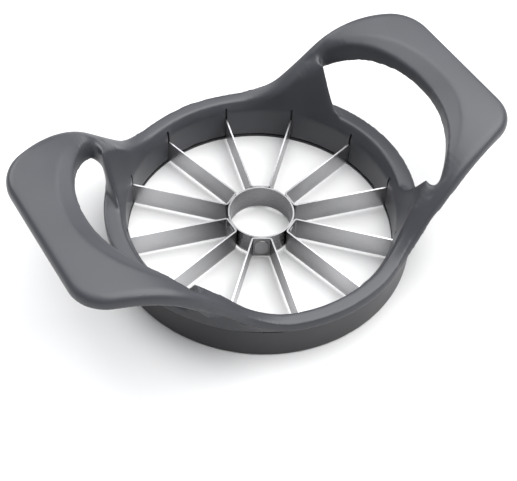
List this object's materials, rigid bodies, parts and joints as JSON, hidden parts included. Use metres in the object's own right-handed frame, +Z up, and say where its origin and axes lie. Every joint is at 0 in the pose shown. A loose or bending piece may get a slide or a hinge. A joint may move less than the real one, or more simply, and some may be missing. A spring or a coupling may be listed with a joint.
{
  "type": "radial fruit slicer and corer",
  "caption": "Press-down slicer: radial steel blades round a steel core tube, in a dark plastic ring that rises into a loop handle on each side.",
  "frame": {"origin": "on the table, under the middle of the core tube", "axes": "+X towards one handle, +Y across the handles, +Z up out of the ring"},
  "size_m": [0.1746, 0.116, 0.0506],
  "materials": {
    "graphite_plastic": "satin moulded, fine even grain",
    "graphite_plastic_base": "satin moulded, fine even grain",
    "stainless_tube": "polished rolled sheet with a welded seam",
    "stainless_blade": "finely brushed along the blade, ground lower edge"
  },
  "bodies": {
    "root": {"handle_frame": "graphite_plastic", "base_ring": "graphite_plastic_base", "core_tube": "stainless_tube", "blade_strip_1": "stainless_blade", "blade_strip_2": "stainless_blade", "blade_strip_3": "stainless_blade", "blade_strip_4": "stainless_blade", "blade_strip_5": "stainless_blade", "blade_strip_6": "stainless_blade"}
  },
  "joints": []
}
